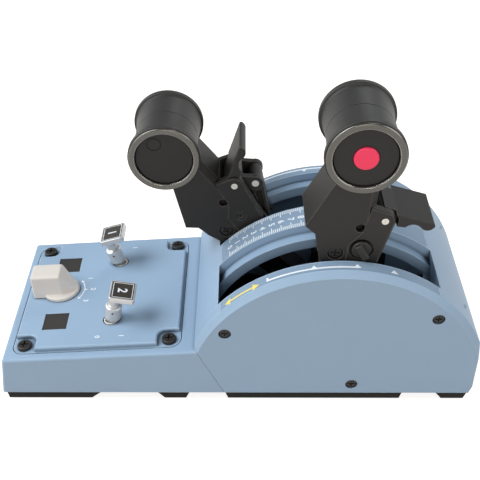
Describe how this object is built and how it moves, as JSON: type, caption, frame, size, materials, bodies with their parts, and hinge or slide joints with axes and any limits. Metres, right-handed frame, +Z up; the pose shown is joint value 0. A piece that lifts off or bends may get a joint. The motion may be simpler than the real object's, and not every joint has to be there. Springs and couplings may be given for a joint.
{
  "type": "throttle quadrant",
  "caption": "Desktop throttle quadrant with drum-slot thrust levers, reverse triggers, thumb buttons and a sloping engine panel with toggles and a mode selector.",
  "frame": {"origin": "centre of the footprint on the surface that the feet stand on", "axes": "+X forward, away from the user; +Y to the left; +Z up"},
  "size_m": [0.2626, 0.1046, 0.177],
  "materials": {
    "blue_plastic": "fine moulded grain, satin",
    "printed_strip": "satin film with white print",
    "charcoal_plastic": "fine moulded grain",
    "knob_plastic": "satin",
    "knob_rim": "semi gloss",
    "black_plastic": "matte",
    "foot_rubber": "matte",
    "red_plastic": "satin",
    "cream_plastic": "satin",
    "satin_metal": "bead blasted",
    "label_black": "printed",
    "dark_lens": "smoked",
    "black_screw": "black oxide",
    "steel": "plain",
    "bronze": "plain",
    "circuit_board": "solder mask"
  },
  "bodies": {
    "casing": {"axle_brackets": "steel", "ballast_plate": "steel", "bottom_screws": "black_screw", "bottom_tray": "black_plastic", "detent_arches": "steel", "friction_washers": "steel", "lever_axle": "steel", "main_board": "circuit_board", "main_casing": "blue_plastic", "panel_board": "circuit_board", "panel_plate": "blue_plastic", "panel_screws": "black_screw", "panel_windows": "dark_lens", "rubber_feet": "foot_rubber", "scale_strip_centre": "printed_strip", "scale_strip_left": "printed_strip", "scale_strip_right": "printed_strip", "selector_switch": "black_plastic", "sensor_boards": "circuit_board", "side_cover_left": "blue_plastic", "side_cover_right": "blue_plastic", "side_cover_screws": "black_screw", "toggle_bushings": "satin_metal", "toggle_switch_cases": "black_plastic", "usb_socket": "steel"},
    "lever_left": {"lever_arm_left": "charcoal_plastic", "lever_yoke_left": "charcoal_plastic", "trigger_pin_left": "steel", "lever_screws_left": "black_screw", "hub_bush_left": "bronze", "knob_barrel_left": "knob_plastic", "knob_rings_left": "knob_rim", "knob_caps_left": "black_plastic", "button_switch_left": "black_plastic"},
    "trigger_left": {"reverse_trigger_left": "charcoal_plastic", "crank_pin_left": "steel"},
    "rod_left": {"lock_rod_left": "charcoal_plastic"},
    "button_left": {"thumb_button_left": "red_plastic"},
    "latch_left": {"latch_knob_left": "charcoal_plastic"},
    "toggle_left": {"toggle_stem_left": "satin_metal", "toggle_label_left": "label_black"},
    "lever_right": {"lever_arm_right": "charcoal_plastic", "lever_yoke_right": "charcoal_plastic", "trigger_pin_right": "steel", "lever_screws_right": "black_screw", "hub_bush_right": "bronze", "knob_barrel_right": "knob_plastic", "knob_rings_right": "knob_rim", "knob_caps_right": "black_plastic", "button_switch_right": "black_plastic"},
    "trigger_right": {"reverse_trigger_right": "charcoal_plastic", "crank_pin_right": "steel"},
    "rod_right": {"lock_rod_right": "charcoal_plastic"},
    "button_right": {"thumb_button_right": "red_plastic"},
    "latch_right": {"latch_knob_right": "charcoal_plastic"},
    "toggle_right": {"toggle_stem_right": "satin_metal", "toggle_label_right": "label_black"},
    "selector": {"selector_knob": "cream_plastic", "selector_shaft": "steel"}
  },
  "joints": [
    {"name": "lever_left_swing", "type": "hinge", "parent": "casing", "child": "lever_left", "pos_m": [0.05435, 0.0257, 0.00925], "axis": [0, 1, 0], "range_deg": [0, 64]},
    {"name": "trigger_left_lift", "type": "hinge", "parent": "lever_left", "child": "trigger_left", "pos_m": [-0.00126, 0.0257, 0.10299], "axis": [0, 1, 0], "range_deg": [0, 47]},
    {"name": "rod_left_swing", "type": "hinge", "parent": "trigger_left", "child": "rod_left", "pos_m": [0.01041, 0.0257, 0.10213], "axis": [0, 1, 0], "range_deg": [-64.16, 0]},
    {"name": "button_left_press", "type": "slide", "parent": "lever_left", "child": "button_left", "axis": [0, -1, 0], "range_m": [0, 0.0018], "stiffness_N_per_m": 400, "springref_m": -0.002},
    {"name": "latch_left_turn", "type": "hinge", "parent": "lever_left", "child": "latch_left", "pos_m": [0.00219, 0.0257, 0.08306], "axis": [0, 1, 0], "range_deg": [0, 90]},
    {"name": "toggle_left_flip", "type": "hinge", "parent": "casing", "child": "toggle_left", "pos_m": [-0.07072, 0.0259, 0.03425], "axis": [0, 1, 0], "range_deg": [0, 26]},
    {"name": "lever_right_swing", "type": "hinge", "parent": "casing", "child": "lever_right", "pos_m": [0.05435, -0.0257, 0.00925], "axis": [0, 1, 0], "range_deg": [-41.2, 22.8]},
    {"name": "trigger_right_lift", "type": "hinge", "parent": "lever_right", "child": "trigger_right", "pos_m": [0.07425, -0.0257, 0.11641], "axis": [0, 1, 0], "range_deg": [-47, 0], "stiffness_Nm_per_rad": 0.03, "springref_deg": 22.92},
    {"name": "rod_right_swing", "type": "hinge", "parent": "trigger_right", "child": "rod_right", "pos_m": [0.07376, -0.0257, 0.10472], "axis": [0, 1, 0], "range_deg": [0, 64.16]},
    {"name": "button_right_press", "type": "slide", "parent": "lever_right", "child": "button_right", "axis": [0, 1, 0], "range_m": [0, 0.0018], "stiffness_N_per_m": 400, "springref_m": -0.002},
    {"name": "latch_right_turn", "type": "hinge", "parent": "lever_right", "child": "latch_right", "pos_m": [0.06372, -0.0257, 0.09914], "axis": [0, -1, 0], "range_deg": [0, 90]},
    {"name": "toggle_right_flip", "type": "hinge", "parent": "casing", "child": "toggle_right", "pos_m": [-0.07072, -0.0259, 0.03425], "axis": [0, 1, 0], "range_deg": [-26, 0]},
    {"name": "selector_turn", "type": "hinge", "parent": "casing", "child": "selector", "pos_m": [-0.10352, 0.0016, 0.03619], "axis": [-0.0661, 0, 0.9978], "range_deg": [-35, 35]}
  ],
  "couplings": [
    {"joint": "rod_left_swing", "follows": "trigger_left_lift", "ratio": -1.365},
    {"joint": "rod_right_swing", "follows": "trigger_right_lift", "ratio": -1.365}
  ]
}
